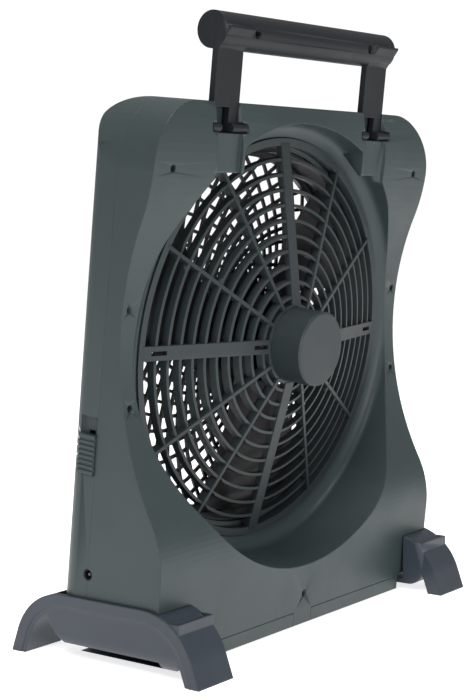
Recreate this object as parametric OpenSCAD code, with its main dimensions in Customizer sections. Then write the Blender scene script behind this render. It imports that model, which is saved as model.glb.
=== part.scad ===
// Portable box fan with a folding handle and two tilting feet.
// Frame: X to the side with the speed switch, -Y is the front (air outlet), +Y the rear (air inlet),
// +Z up, origin on the floor under the middle of the feet. All housing pieces are drawn upright and
// then leaned back about the foot pivot, as the fan stands in use.

/* [Housing] */
// Radius of the round air inlet in the rear face
bowl_r = 142; // [130:1:175]
// Strip of rear face left beside the inlet
side_strip = 10.5; // [8:0.5:14]
// Strip of rear face left above the inlet
top_strip = 10; // [8:0.5:16]
// Height of the battery base below the inlet
base_h = 41; // [40:0.5:52]
// Depth of the base behind the foot pivot
rear_depth = 41; // [40:0.5:52]
// Depth of the housing in front of the foot pivot
front_depth = 38.5; // [38:0.5:50]
// Depth of the front shell, from the front face to the parting plane
front_shell_depth = 23.5; // [20:0.5:26]
// Radius of the two upper corners
corner_r = 42; // [30:1:55]
// Radius of the front edges
front_edge_r = 14; // [6:1:16]
// Wall thickness of both shells
wall = 2.5; // [1.8:0.1:3]
// Radius of the hollow waist in the rear face
waist_r = 200; // [180:5:260]
// Height of the waist above the fan axis
waist_rise = 19; // [10:1:30]
// How far the waist lies in front of the foot pivot
waist_depth = 3; // [2:0.5:4]
// How far the upper rear face stands behind the foot pivot
crest_depth = 13; // [11:0.5:15]

/* [Rear grille] */
// Outer radius gap between the grille ring and the inlet
ring_inset = 10; // [8:0.5:14]
// Width of the outer ring
ring_w = 5; // [4:0.5:8]
// Depth of the outer ring
ring_depth = 8; // [6:0.5:9]
// Number of round ribs
ring_count = 10; // [6:1:12]
// Thickness of the round ribs
rib_t = 2; // [1.5:0.1:3]
// Depth of the ribs
rib_depth = 5; // [4:0.5:7]
// How far the middle of the grille stands behind its ring
dome_rise = 20; // [14:1:24]
// Width of the four wide spokes
wide_spoke_w = 9; // [7:0.5:12]
// Thickness of the eight thin spokes
thin_spoke_w = 2.4; // [1.8:0.1:3.5]
// Radius of the motor housing
motor_housing_r = 24.3; // [22:0.5:28]
// How far the motor housing stands behind the grille's middle
motor_housing_rise = 22; // [18:1:24]

/* [Front grille] */
// Number of spiral ribs in each direction
spirals = 40; // [24:2:48]
// Thickness of the spiral ribs
lattice_t = 2.2; // [1.6:0.1:3]
// Radius of the plain badge
badge_r = 38; // [30:1:45]

/* [Rotor] */
// Number of fan blades
blades = 3; // [3:1:7]
// Turn of the first blade from the switch side
first_blade = -12; // [-60:1:60]
// Gap between the blade tips and the duct
tip_gap = 4; // [3:0.5:8]
// Radius of the rotor hub
rotor_hub_r = 28; // [24:1:34]
// Height of a blade along the shaft
blade_rise = 16; // [10:1:17]
// Angle that one blade covers
blade_span = 47; // [36:1:48]
// Radius of the motor shaft
shaft_r = 1.5; // [1.2:0.1:2]

/* [Handle] */
// Overall width of the handle
handle_w = 189; // [170:1:200]
// Width of each arm
arm_w = 25; // [18:1:28]
// Thickness of each arm
arm_t = 4.2; // [3.5:0.1:5]
// Radius of the grip tube
grip_r = 11.3; // [10:0.1:13]
// Height of the grip axis above the hinge axis
handle_h = 57; // [48:1:66]
// Radius of the hinge trunnions
trunnion_r = 2.7; // [2:0.1:3]

/* [Feet] */
// Half the distance from front toe to rear toe, on the floor
toe_reach = 74; // [70:1:85]
// Width of each foot
foot_w = 33; // [28:1:38]
// Thickness of the arch
arch_t = 10; // [8:0.5:12]
// Height of the arch above the floor
arch_h = 41; // [40:1:46]
// Height of the pivot above the floor
pivot_h = 30; // [28:1:34]
// Backward lean of the housing at rest
lean = 6.1; // [0:0.1:6.1]

/* [Battery base] */
// Radius of one round cell
cell_r = 17.1; // [12.5:0.1:17.5]
// Length of one round cell
cell_l = 61; // [48:0.5:61.5]
// Half the width of the post between the two doors
post_w = 10; // [8:0.5:12]
// Height of the door's rear lip
lip_h = 9.5; // [8:0.5:12]

/* [Controls] */
// Width of the speed knob
knob_w = 12.5; // [10:0.5:14]
// Length of the speed knob
knob_l = 24; // [18:0.5:28]
// Travel of the speed knob
knob_travel = 10.5; // [8:0.5:14]
// Bore radius of the power socket
socket_r = 2.8; // [2:0.1:3.2]

/* [Hidden] */

SHELL = [0.27, 0.31, 0.31];
TRIM = [0.17, 0.19, 0.23];
GRILLE = [0.23, 0.27, 0.28];
STEEL = [0.72, 0.73, 0.75];
BRASS = [0.78, 0.64, 0.32];
BLACK = [0.08, 0.08, 0.09];

$fn = 64;
eps = 0.01;          // overlap that joins solids of one piece
far = 200;           // length of a cut that runs out of the housing
clear = 0.5;         // running gap between the handle and the housing
fit = 0.05;          // radial clearance of a pin in its bore
bite = 0.15;         // how far a screw thread cuts into its hole
floor_gap = 5;       // height of the housing's bottom when it stands upright

// Housing outline, upright
half_w = bowl_r + side_strip;
bottom_z = floor_gap;
fan_z = bottom_z + base_h + bowl_r;
top_z = fan_z + bowl_r + top_strip;
split_y = front_shell_depth - front_depth;
foot_skin_out = 2.7;     // how far a foot stands outside the housing
foot_gap = 0.4;          // gap between a foot and the housing's side
foot_outer_x = half_w + foot_skin_out;
foot_inner_x = foot_outer_x - foot_w;
base_edge_r = 10;        // radius of the lower edges
foot_step_z = 16;        // underside of the housing above the feet
step_x = foot_inner_x - 1.5;   // where the housing steps up over a foot

// Rear face: centres of the convex bend, the hollow waist and the convex crown
bend_r = 60;
crown_r = 120;
waist_c = [waist_r - waist_depth, fan_z + waist_rise];
bend_c = [rear_depth - bend_r,
    waist_c[1] - sqrt(pow(waist_r + bend_r, 2) - pow(waist_c[0] - rear_depth + bend_r, 2))];
crown_c = [crest_depth - crown_r,
    waist_c[1] + sqrt(pow(waist_r + crown_r, 2) - pow(waist_c[0] - crest_depth + crown_r, 2))];

// Feet
arch_r = arch_h - 1;
arch_leg_tilt = 20;
arch_c = [toe_reach - (arch_r + sin(arch_leg_tilt)) / cos(arch_leg_tilt), 1];
boat_skin = 1.6;
boat_bottom = 5;
boat_y = [-44, 59];      // front and rear end of the hull
boat_front = [-12, 35];  // middle and radius of the hull's front curve
boat_rear = [47, 12];    // middle and radius of its rear curve
arch_step = 0.6;         // the arch's inner rim lies this much deeper
arch_rim = 2.8;          // width of that rim
arch_steps = 24;         // flats along each curve of the arch
boat_round = 12;
tilt_max = 6.1;
body_gap = 0.4;
body_front = (front_depth + (pivot_h - foot_step_z) * tan(tilt_max)) * cos(tilt_max) + body_gap;
body_rear = (rear_depth + (pivot_h - foot_step_z) * tan(tilt_max)) * cos(tilt_max) + body_gap;
foot_web = 2.3;
foot_screw_r = 1.5;
foot_washer_r = 7;
pivot_r = 5;
pivot_boss_r = 8.5;
pivot_l = 6;

// Rear grille
ring_r = bowl_r - ring_inset;
ring_face_y = -waist_depth - 2;
ring_inner_r = ring_r - ring_w;
seat_y = ring_face_y - ring_depth;
bowl_fillet = 9;
bowl_draft = 0.9;
rib_pitch = (ring_inner_r - motor_housing_r - 5.7) / ring_count;
dome_y = ring_face_y + dome_rise;
motor_end_y = dome_y + motor_housing_rise;
cup_wall = 2;
spoke_proud = 0.5;
wire_r = 0.8;
wire_deep = 1.8;     // plastic left over the wires
wire_channel = 2;    // half width of the channel for the wires

// Front grille and duct
duct_r = ring_r - 10;
duct_wall = 2;
front_open_r = duct_r + 5;
front_y = -front_depth;
lattice_y = front_y + 0.6;
lattice_d = 3.5;
flange_back_y = front_y + wall + 3;
duct_back_y = split_y - 0.5;
blade_r = duct_r - tip_gap;
blade_y0 = front_y + 9;
blade_t = 2;
rotor_hub_y0 = blade_y0 - 0.5;
rotor_hub_y1 = rotor_hub_y0 + 28;
motor_r = motor_housing_r - cup_wall - 0.1;
motor_y0 = dome_y - 11;
motor_y1 = motor_end_y - cup_wall - 0.1;
can_wall = 1.6;
bearing_r = 4;
bearing_l = 4;
magnet_t = 3.5;

// Handle
hinge_y = crest_depth - 3.8;
hinge_z = top_z - 15;
arm_face_y = hinge_y - 2;
arm_x = handle_w / 2 - arm_w / 2;
grip_y = hinge_y - 7.6;
grip_z = hinge_z + handle_h;
notch_w = arm_w + 2 * clear;
notch_y = hinge_y - 7.6;
notch_z = hinge_z - 3.3;
nest_y = hinge_y + 1.2;
shelf_z = fan_z + 110;   // lower edge of the nest, inside the inlet
shelf_rise = 17;         // how much the underside of the nest rises to the front
pocket_l = 6;
stub_l = 4;
bracket_out = 8;
bracket_h = 13;
grip_wall = 2.5;
grip_screw_x = arm_x - 18.5;
slot_w = 11.5;
slot_h = 12;

// Screws: x and height above the bottom
screw_xz = [[bowl_r - 7, 295], [bowl_r + 4.2, 211], [bowl_r + 4.2, 153]];
screw_hole_r = 2.4;
screw_boss_r = 3.6;
screw_shank_r = 1.25;
screw_head_r = 2.2;
screw_floor = 5;

// Battery base
door_gap = 0.35;
door_x0 = post_w;
door_x1 = step_x - wall;
door_pin_r = 0.9;
door_pin_l = 1.8;
door_y0 = wall + 3 - front_depth;
door_hinge_y = door_y0 + door_gap + wall / 2;
door_hinge_z = bottom_z + wall / 2;
box_t = 0.8;
box_x0 = post_w + 0.5;
box_x1 = step_x - wall - 0.1;
box_y0 = wall + 0.1 - front_depth;
box_y1 = rear_depth - wall - 0.1;
cell_z = bottom_z + wall + 0.2 + cell_r;
cell_pitch = 2 * cell_r + 0.5;
cell_mid_x = (box_x0 + box_x1) / 2;
cell_nub_l = 1.5;
cell_nub_r = 4.5;
box_top = cell_z + cell_r + 0.3;
contact_t = 0.4;
contact_w = 16;
bay_half = (box_y1 - box_y0) / 2 - box_t;
cell_front = bay_half - contact_t - 0.15;

// Controls
knob_y = split_y - knob_w / 2 - 1;
knob_z = bottom_z + 110;
knob_gap = 0.4;
knob_open = knob_l + knob_travel + 2 * knob_gap;
knob_recess = 3.5;
pad_x = half_w - knob_recess - 2;
stem_l = 6;
stem_w = 4;
knob_out = 1.5;
jack_pin_r = 0.9;
stem_z = knob_z + (knob_l - stem_l) / 2;
switch_deep = 10;
jack_y = split_y;
jack_z = bottom_z + 49;
jack_depth = 9;

// ---------- helpers ----------

// Leans the upright housing back about the foot pivot
module leaned() {
    translate([0, 0, pivot_h]) rotate([-lean, 0, 0]) translate([0, 0, -pivot_h]) children();
}

// Extrudes a side view (y, z) from x0 to x1
module along_x(x0, x1) {
    translate([x0, 0, 0]) rotate([90, 0, 90]) linear_extrude(x1 - x0) children();
}

// Extrudes a rear view (x, z) from y0 to y1
module along_y(y0, y1) {
    translate([0, y1, 0]) rotate([90, 0, 0]) linear_extrude(y1 - y0) children();
}

// Puts a solid of revolution on the fan axis, its own Z along the housing's Y
module on_fan_axis() {
    translate([0, 0, fan_z]) rotate([-90, 0, 0]) children();
}

// Cylinder along Y from y0 to y1
module rod_y(r, x, z, y0, y1) {
    translate([x, y0, z]) rotate([-90, 0, 0]) cylinder(r = r, h = y1 - y0);
}

// Cylinder along X from x0 to x1
module rod_x(r, y, z, x0, x1) {
    translate([x0, y, z]) rotate([0, 90, 0]) cylinder(r = r, h = x1 - x0);
}

// Box between two corners
module box(a, b) {
    translate(a) cube(b - a);
}

// Rounded rectangle between two corners with its own radius at each corner: ll, lr, ur, ul
module round_rect(a, b, r) {
    difference() {
        translate(a) square(b - a);
        for (c = [[a[0], a[1], 1, 1, r[0]], [b[0], a[1], -1, 1, r[1]],
                  [b[0], b[1], -1, -1, r[2]], [a[0], b[1], 1, -1, r[3]]])
            if (c[4] > 0)
                difference() {
                    translate([c[2] > 0 ? c[0] - 1 : c[0] - c[4], c[3] > 0 ? c[1] - 1 : c[1] - c[4]])
                        square(c[4] + 1);
                    translate([c[0] + c[2] * c[4], c[1] + c[3] * c[4]]) circle(r = c[4]);
                }
    }
}

// ---------- housing outline ----------

// Points on an arc about c with radius r, from angle a0 to a1 in n steps
function arc(c, r, a0, a1, n) =
    [for (i = [0 : n]) let (a = a0 + (a1 - a0) * i / n) c + r * [cos(a), sin(a)]];

// Side view of the housing, moved inwards by t: base block, bend, hollow waist and crown, all tangent
module side_view(t) {
    edge = max(1, front_edge_r - t);
    bend_a = atan2(waist_c[1] - bend_c[1], waist_c[0] - bend_c[0]);
    crown_a = atan2(waist_c[1] - crown_c[1], waist_c[0] - crown_c[0]);
    top_a = asin((top_z - t - crown_c[1]) / (crown_r - t));
    polygon(concat(
        [[t - front_depth, 0], [rear_depth - t, 0]],
        arc(bend_c, bend_r - t, 0, bend_a, 10),
        arc(waist_c, waist_r + t, bend_a + 180, crown_a + 180, 24),
        arc(crown_c, crown_r - t, crown_a, top_a, 14),
        arc([t - front_depth + edge, top_z - t - edge], edge, 90, 180, 12)));
}

// Rear view of the housing, moved inwards by t, stepped up where the feet reach under it
module rear_view(t) {
    edge = max(1, base_edge_r - t);
    round_rect([t - half_w, foot_step_z + t], [half_w - t, top_z - t], [edge, edge, corner_r - t, corner_r - t]);
    translate([t - step_x, bottom_z + t]) square([2 * (step_x - t), foot_step_z - bottom_z + edge]);
}

// Top view of the housing, moved inwards by t
module top_view(t) {
    edge = max(1, front_edge_r - t);
    round_rect([t - half_w, t - front_depth], [half_w - t, far], [edge, edge, 0, 0]);
}

// The whole housing as a solid, moved inwards by t
module housing_solid(t) {
    intersection() {
        along_x(-far, far) side_view(t);
        along_y(-far, far) rear_view(t);
        linear_extrude(top_z + 40) top_view(t);
    }
}

// Air inlet as a solid of revolution, its wall moved outwards by t
module inlet(t) {
    floor_y = ring_face_y - 1;
    round_c = [bowl_r - bowl_fillet, floor_y + bowl_fillet];
    on_fan_axis() {
        rotate_extrude($fn = 180) union() {
            translate([0, seat_y - 20]) square([ring_inner_r - 3 + t, 21]);
            translate([0, seat_y - t]) square([ring_r + 0.1 + t, floor_y - seat_y + t + 1]);
            translate([0, floor_y - t]) square([round_c[0], bowl_fillet + t]);
            intersection() {
                translate(round_c) circle(r = bowl_fillet + t, $fn = 96);
                translate([0, floor_y - t]) square([bowl_r + t, bowl_fillet + t + 1]);
            }
            polygon([[0, round_c[1]], [bowl_r + t, round_c[1]],
                [bowl_r + bowl_draft + t, rear_depth + 20], [0, rear_depth + 20]]);
        }
    }
}

// Notch, hinge pocket and nest of one arm, moved outwards by t; side is 1 or -1
module arm_recess(side, t) {
    x0 = side * arm_x - notch_w / 2;
    x1 = side * arm_x + notch_w / 2;
    reach = trunnion_r + clear + t;
    box([x0 - t, notch_y - t, notch_z - t], [x1 + t, far, top_z + 20]);
    box([x0 - t, nest_y - t, fan_z + bowl_r / 2], [x1 + t, far, top_z]);
    box([x0 - pocket_l - t, hinge_y - reach, hinge_z - reach], [x0 + 1, far, hinge_z + reach]);
}

// Wedge of the housing that carries the nest of one arm out into the inlet
module arm_shelf(side) {
    front = ring_face_y - 2;
    half = notch_w / 2 + wall;
    along_x(side * arm_x - half, side * arm_x + half)
        polygon([[far, shelf_z], [nest_y, shelf_z], [front, shelf_z + shelf_rise], [front, far + fan_z],
            [far, far + fan_z]]);
}

// Slot, open to the rear, that holds the stub of one arm; r is its half width
module stub_slot(side, r, l) {
    x0 = side * arm_x + notch_w / 2 - 1;
    rod_x(r, hinge_y, hinge_z, x0, x0 + 1 + l);
    box([x0, hinge_y, hinge_z - r], [x0 + 1 + l, far, hinge_z + r]);
}

// Places a child at every housing screw
module at_screws() {
    for (p = screw_xz, s = [-1, 1]) translate([s * p[0], 0, bottom_z + p[1]]) children();
    translate([0, 0, bottom_z + 21]) children();
}

// Both door openings in the bottom and the rear face
module door_openings() {
    for (s = [0, 1]) mirror([s, 0, 0]) {
        box([door_x0, door_y0, -10], [door_x1, far, bottom_z + wall + 0.1]);
        box([door_x0, rear_depth - wall - 0.1, -10], [door_x1, far, bottom_z + lip_h]);
    }
}

// Hole and seat of the power socket, at the parting plane
module jack_hole() {
    rod_x(socket_r + 0.7, jack_y, jack_z, half_w - 3 * wall, half_w + 1);
}

// Bores of the foot pivots
module pivot_bores() {
    for (s = [0, 1]) mirror([s, 0, 0]) rod_x(pivot_r + fit, 0, pivot_h, half_w - 2 * pivot_l, half_w + 1);
}

// ---------- housing pieces ----------

module rear_shell() {
    color(SHELL) leaned() difference() {
        intersection() {
            housing_solid(0);
            box([-far, split_y, 0], [far, far, 2 * far]);
        }
        difference() {
            housing_solid(wall);
            inlet(wall);
            for (s = [-1, 1]) {
                arm_recess(s, wall);
                stub_slot(s, trunnion_r + wall, stub_l + wall);
            }
            at_screws() rod_y(screw_boss_r, 0, 0, split_y - 1, far);
            for (s = [0, 1]) mirror([s, 0, 0]) rod_x(pivot_boss_r, 0, pivot_h, half_w - pivot_l, half_w);
        }
        difference() {
            inlet(0);
            for (s = [-1, 1]) arm_shelf(s);
        }
        for (s = [-1, 1]) {
            arm_recess(s, 0);
            stub_slot(s, trunnion_r + fit, stub_l + 0.3);
        }
        at_screws() {
            rod_y(screw_hole_r, 0, 0, split_y + screw_floor, far);
            rod_y(screw_shank_r + 0.2, 0, 0, split_y - 1, far);
        }
        door_openings();
        jack_hole();
        pivot_bores();
    }
}

module front_shell() {
    color(SHELL) leaned() difference() {
        union() {
            difference() {
                intersection() {
                    housing_solid(0);
                    box([-far, -far, 0], [far, split_y, 2 * far]);
                }
                housing_solid(wall);
            }
            intersection() {
                housing_solid(0);
                union() {
                    at_screws() rod_y(screw_boss_r, 0, 0, front_y + 1, split_y);
                    box([pad_x, knob_y - knob_w / 2 - 3, knob_z - 3],
                        [half_w, split_y, knob_z + knob_open + 3]);
                }
            }
        }
        on_fan_axis() translate([0, 0, front_y - 5]) cylinder(r = front_open_r, h = 20, $fn = 180);
        at_screws() rod_y(screw_shank_r - bite, 0, 0, split_y - 11, split_y + 1);
        door_openings();
        for (s = [0, 1]) mirror([s, 0, 0])
            rod_x(door_pin_r + fit, door_hinge_y, door_hinge_z, door_x0 - door_pin_l, door_x1 + door_pin_l);
        box([half_w - knob_recess, knob_y - knob_w / 2 - knob_gap, knob_z - knob_gap],
            [half_w + 5, knob_y + knob_w / 2 + knob_gap, knob_z - knob_gap + knob_open]);
        box([pad_x - 1, knob_y - stem_w / 2 - knob_gap, stem_z - knob_gap],
            [half_w + 5, knob_y + stem_w / 2 + knob_gap, stem_z + stem_l + knob_travel + knob_gap]);
        jack_hole();
    }
}

module housing_screws() {
    color(STEEL) leaned() at_screws() difference() {
        union() {
            rod_y(screw_shank_r, 0, 0, split_y - 10, split_y + screw_floor + 0.5);
            rod_y(screw_head_r, 0, 0, split_y + screw_floor, split_y + screw_floor + 2);
        }
        for (a = [0, 90])
            translate([0, split_y + screw_floor + 2, 0]) rotate([0, a, 0]) cube([2.6, 1.6, 0.6], center = true);
    }
}

// ---------- front grille ----------

lattice_r0 = badge_r + 1;
lattice_r1 = duct_r - 2;

// Point on a spiral that crosses every circle at 45 degrees; side moves it across the rib
function spiral_point(turn, u, side) =
    let (r = lattice_r0 * pow(lattice_r1 / lattice_r0, u),
         a = turn * ln(r / lattice_r0) * 180 / PI,
         across = a + turn * 45 + 90)
    [r * cos(a) + side * cos(across), r * sin(a) + side * sin(across)];

module spiral_rib(turn) {
    steps = 7;
    polygon(concat(
        [for (i = [0 : steps]) spiral_point(turn, i / steps, lattice_t / 2)],
        [for (i = [steps : -1 : 0]) spiral_point(turn, i / steps, -lattice_t / 2)]));
}

module front_grille() {
    layer = lattice_d / 2 - 0.1;
    color(GRILLE) leaned() on_fan_axis() {
        rotate_extrude($fn = 180)
            polygon([[lattice_r1 - 2, front_y + 0.3], [front_open_r - 0.3, front_y + 0.3],
                [front_open_r - 0.3, front_y + wall], [front_open_r + 4, front_y + wall],
                [front_open_r + 4, flange_back_y], [duct_r, flange_back_y], [duct_r, lattice_y + lattice_d],
                [lattice_r1 - 2, lattice_y + lattice_d]]);
        translate([0, 0, lattice_y]) difference() {
            cylinder(r = badge_r + 3, h = lattice_d, $fn = 120);
            translate([0, 0, -eps]) cylinder(r = badge_r - 8, h = lattice_d - 1, $fn = 120);
        }
        for (turn = [-1, 1], i = [0 : spirals - 1])
            translate([0, 0, turn < 0 ? lattice_y : lattice_y + lattice_d - layer])
                rotate([0, 0, i * 360 / spirals]) linear_extrude(layer) spiral_rib(turn);
    }
}

module fan_duct() {
    color(GRILLE) leaned() on_fan_axis() rotate_extrude($fn = 180)
        polygon([[duct_r, flange_back_y], [duct_r + 6, flange_back_y], [duct_r + 6, flange_back_y + 2],
            [duct_r + duct_wall, flange_back_y + 2], [duct_r + duct_wall, duct_back_y], [duct_r, duct_back_y]]);
}

module front_badge() {
    back = lattice_y - front_y + 1.45;
    color(TRIM) leaned() on_fan_axis() translate([0, 0, front_y - 1.5]) rotate_extrude($fn = 120)
        polygon([[0, 0], [badge_r - 3, 0.4], [badge_r, 1.2], [badge_r, back], [badge_r - 8.1, back],
            [badge_r - 8.1, back + 2.3], [0, back + 2.3]]);
}

// ---------- rear grille ----------

// Height of the domed grille face at radius r
function dome_at(r) = ring_face_y + dome_rise * (ring_inner_r - r) / (ring_inner_r - motor_housing_r);

// Band across the grille from the motor housing to the ring, from depth to rise over the domed face
module spoke(width, depth, rise) {
    r0 = motor_housing_r + 1;
    r1 = ring_inner_r + 2;
    translate([0, width / 2, 0]) rotate([90, 0, 0]) linear_extrude(width)
        polygon([[r0, dome_at(r0) - depth], [r1, dome_at(r1) - depth], [r1, dome_at(r1) + rise],
            [r0, dome_at(r0) + rise]]);
}

module rear_grille() {
    hub_r = motor_housing_r + fit;
    color(GRILLE) leaned() on_fan_axis() difference() {
        union() {
            rotate_extrude($fn = 180)
                polygon([[ring_inner_r, seat_y + 0.1], [ring_r, seat_y + 0.1], [ring_r, ring_face_y],
                    [ring_inner_r, ring_face_y]]);
            rotate_extrude($fn = 120)
                polygon([[hub_r, dome_at(hub_r) - rib_depth - 1], [hub_r + rib_t, dome_at(hub_r) - rib_depth - 1],
                    [hub_r + rib_t, dome_at(hub_r + rib_t)], [hub_r, dome_at(hub_r)]]);
            for (i = [1 : ring_count]) {
                r = ring_inner_r - i * rib_pitch;
                rotate_extrude($fn = 120)
                    polygon([[r, dome_at(r) - rib_depth], [r + rib_t, dome_at(r + rib_t) - rib_depth],
                        [r + rib_t, dome_at(r + rib_t)], [r, dome_at(r)]]);
            }
            for (i = [0 : 11]) rotate([0, 0, 30 * i])
                if (i % 3 == 0) spoke(wide_spoke_w, rib_depth - 1, spoke_proud);
                else spoke(thin_spoke_w, rib_depth + 1, spoke_proud);
        }
        intersection() {
            spoke(2 * wire_channel, far, -wire_deep);
            translate([hub_r + rib_t, -wire_channel, -far])
                cube([ring_inner_r - hub_r - rib_t - 1, 2 * wire_channel, 2 * far]);
        }
        for (s = [-1, 1], r = [ring_inner_r - 11, motor_housing_r + 9])
            translate([s * r, 0, 0]) cube([12, 2.6, far], center = true);
    }
}

// ---------- motor and rotor ----------

module motor_housing() {
    cup_y = dome_y - rib_depth - 1;
    color(GRILLE) leaned() on_fan_axis() rotate_extrude($fn = 120)
        polygon([[motor_housing_r - cup_wall, cup_y], [motor_housing_r, cup_y],
            [motor_housing_r, motor_end_y - 1], [motor_housing_r - 1, motor_end_y], [0, motor_end_y],
            [0, motor_end_y - cup_wall], [motor_housing_r - cup_wall, motor_end_y - cup_wall]]);
}

module motor_can() {
    color(STEEL) leaned() on_fan_axis() rotate_extrude($fn = 96)
        polygon([[motor_r - can_wall, motor_y0], [motor_r, motor_y0], [motor_r, motor_y1],
            [bearing_r + fit, motor_y1], [bearing_r + fit, motor_y1 - can_wall],
            [motor_r - can_wall, motor_y1 - can_wall]]);
}

module motor_end_cap() {
    color(BLACK) leaned() on_fan_axis() translate([0, 0, motor_y0 + 0.5]) difference() {
        cylinder(r = motor_r - can_wall - fit, h = 2.5);
        translate([0, 0, -1]) cylinder(r = bearing_r + fit, h = 5);
        for (s = [-1, 1]) translate([s * 12, 0, 0]) cube([3, 1, 8], center = true);
    }
}

module motor_magnets() {
    r1 = motor_r - can_wall - fit;
    color(BLACK) leaned() on_fan_axis() translate([0, 0, motor_y0 + 6]) difference() {
        cylinder(r = r1, h = motor_y1 - motor_y0 - 12);
        translate([0, 0, -1]) cylinder(r = r1 - magnet_t, h = far);
        cube([12, 3 * r1, 3 * far], center = true);
    }
}

module motor_bearings() {
    color(BRASS) leaned() on_fan_axis() for (y = [motor_y0, motor_y1 - bearing_l])
        translate([0, 0, y]) difference() {
            cylinder(r = bearing_r, h = bearing_l);
            translate([0, 0, -1]) cylinder(r = shaft_r + fit, h = bearing_l + 2);
        }
}

module motor_armature() {
    core_r = motor_r - can_wall - magnet_t - 1.5;
    color(BRASS) leaned() on_fan_axis() difference() {
        union() {
            translate([0, 0, motor_y0 + 8]) cylinder(r = core_r, h = motor_y1 - motor_y0 - 16);
            translate([0, 0, motor_y0 + 5]) cylinder(r = 4, h = motor_y1 - motor_y0 - 11);
        }
        translate([0, 0, motor_y0]) cylinder(r = shaft_r + fit, h = far);
        for (a = [0, 120, 240]) rotate([0, 0, a]) translate([6, -1.5, motor_y0 + 7]) cube([core_r, 3, far]);
    }
}

module motor_shaft() {
    color(STEEL) leaned() on_fan_axis() translate([0, 0, rotor_hub_y0 - 2.5])
        cylinder(r = shaft_r, h = motor_y1 - 1 - rotor_hub_y0 + 2.5);
}

module shaft_nut() {
    color(BRASS) leaned() on_fan_axis() translate([0, 0, rotor_hub_y0 - 2]) difference() {
        cylinder(r = 3.2, h = 2, $fn = 6);
        translate([0, 0, -1]) cylinder(r = shaft_r + fit, h = 4);
    }
}

// Point of a blade: u runs from hub to tip, v from leading to trailing edge, side is -1 or 1
function blade_point(u, v, side) =
    let (r = rotor_hub_r - 1 + u * (blade_r - rotor_hub_r + 1),
         a = blade_span * (v - 0.5) - 14 * u * u,
         round_off = 1 - 0.55 * pow(u, 6) * pow(2 * v - 1, 2),
         y = blade_y0 + 1 + (blade_rise - 2) * (0.5 + (v - 0.5) * round_off) + 1.6 * sin(180 * v) * u,
         t = blade_t * (0.35 + 0.65 * sin(180 * v)) / 2)
    [r * cos(a), r * sin(a), y + side * t];

module blade() {
    nu = 8;
    nv = 7;
    row = nv + 1;
    count = (nu + 1) * row;
    top = function (i, j) i * row + j;
    low = function (i, j) count + i * row + j;
    quads = concat(
        [for (i = [0 : nu - 1], j = [0 : nv - 1]) [top(i, j), top(i, j + 1), top(i + 1, j + 1), top(i + 1, j)]],
        [for (i = [0 : nu - 1], j = [0 : nv - 1]) [low(i, j), low(i + 1, j), low(i + 1, j + 1), low(i, j + 1)]],
        [for (i = [0 : nu - 1]) [top(i, 0), top(i + 1, 0), low(i + 1, 0), low(i, 0)]],
        [for (i = [0 : nu - 1]) [top(i, nv), low(i, nv), low(i + 1, nv), top(i + 1, nv)]],
        [for (j = [0 : nv - 1]) [top(0, j), low(0, j), low(0, j + 1), top(0, j + 1)]],
        [for (j = [0 : nv - 1]) [top(nu, j), top(nu, j + 1), low(nu, j + 1), low(nu, j)]]);
    polyhedron(
        points = concat(
            [for (i = [0 : nu], j = [0 : nv]) blade_point(i / nu, j / nv, 1)],
            [for (i = [0 : nu], j = [0 : nv]) blade_point(i / nu, j / nv, -1)]),
        faces = [for (q = quads, h = [0, 1]) [q[0], q[1 + h], q[2 + h]]]);
}

module fan_blades() {
    color(BLACK) leaned() on_fan_axis() {
        difference() {
            rotate_extrude($fn = 96)
                polygon([[0, rotor_hub_y0], [rotor_hub_r - 3, rotor_hub_y0], [rotor_hub_r, rotor_hub_y0 + 3],
                    [rotor_hub_r, rotor_hub_y1], [rotor_hub_r - 2, rotor_hub_y1],
                    [rotor_hub_r - 2, rotor_hub_y0 + 3], [5, rotor_hub_y0 + 3], [5, rotor_hub_y1 - 4],
                    [0, rotor_hub_y1 - 4]]);
            translate([0, 0, rotor_hub_y0 - 1]) cylinder(r = shaft_r + fit, h = 60);
        }
        for (i = [0 : blades - 1]) rotate([0, 0, 360 * i / blades + first_blade]) blade();
    }
}

// Two wires that lie in the channel in front of one wide spoke
module motor_wires() {
    r0 = motor_housing_r + rib_t + 1;
    r1 = ring_inner_r - 2;
    slope = atan((dome_at(r0) - dome_at(r1)) / (r1 - r0));
    color([0.5, 0.1, 0.1]) leaned() on_fan_axis() for (s = [-1, 1])
        translate([r0, s * (wire_r + 0.1), dome_at(r0) - wire_deep - wire_r - 0.3]) rotate([0, 90 + slope, 0])
            cylinder(r = wire_r, h = (r1 - r0) / cos(slope));
}

// ---------- battery base ----------

// Places a child at both bays
module at_bays() {
    for (s = [0, 1]) mirror([s, 0, 0]) children();
}

// Places a child at the middle of every cell, its own Z towards the cell's positive end
module at_cells() {
    at_bays() for (i = [-1, 0, 1])
        translate([cell_mid_x + i * cell_pitch, (box_y0 + box_y1) / 2, cell_z])
            rotate([i == 0 ? -90 : 90, 0, 0]) children();
}

module battery_box() {
    color(BLACK) leaned() at_bays() difference() {
        box([box_x0, box_y0, bottom_z + wall + 0.2], [box_x1, box_y1, box_top + box_t]);
        box([box_x0 + box_t, box_y0 + box_t, 0], [box_x1 - box_t, box_y1 - box_t, box_top]);
    }
}

module battery_cells() {
    color(STEEL) leaned() at_cells() translate([0, 0, cell_front - cell_nub_l - cell_l]) rotate_extrude()
        polygon([[0, 0], [cell_r - 1.5, 0], [cell_r, 0.8], [cell_r, cell_l - 1], [cell_r - 1.5, cell_l],
            [cell_nub_r, cell_l], [cell_nub_r, cell_l + cell_nub_l], [0, cell_l + cell_nub_l]]);
}

module contact_plates() {
    color(BRASS) leaned() at_cells() for (z = [-bay_half + 0.05, bay_half - contact_t - 0.05])
        translate([-contact_w / 2, -contact_w / 2, z]) cube([contact_w, contact_w, contact_t]);
}

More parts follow.
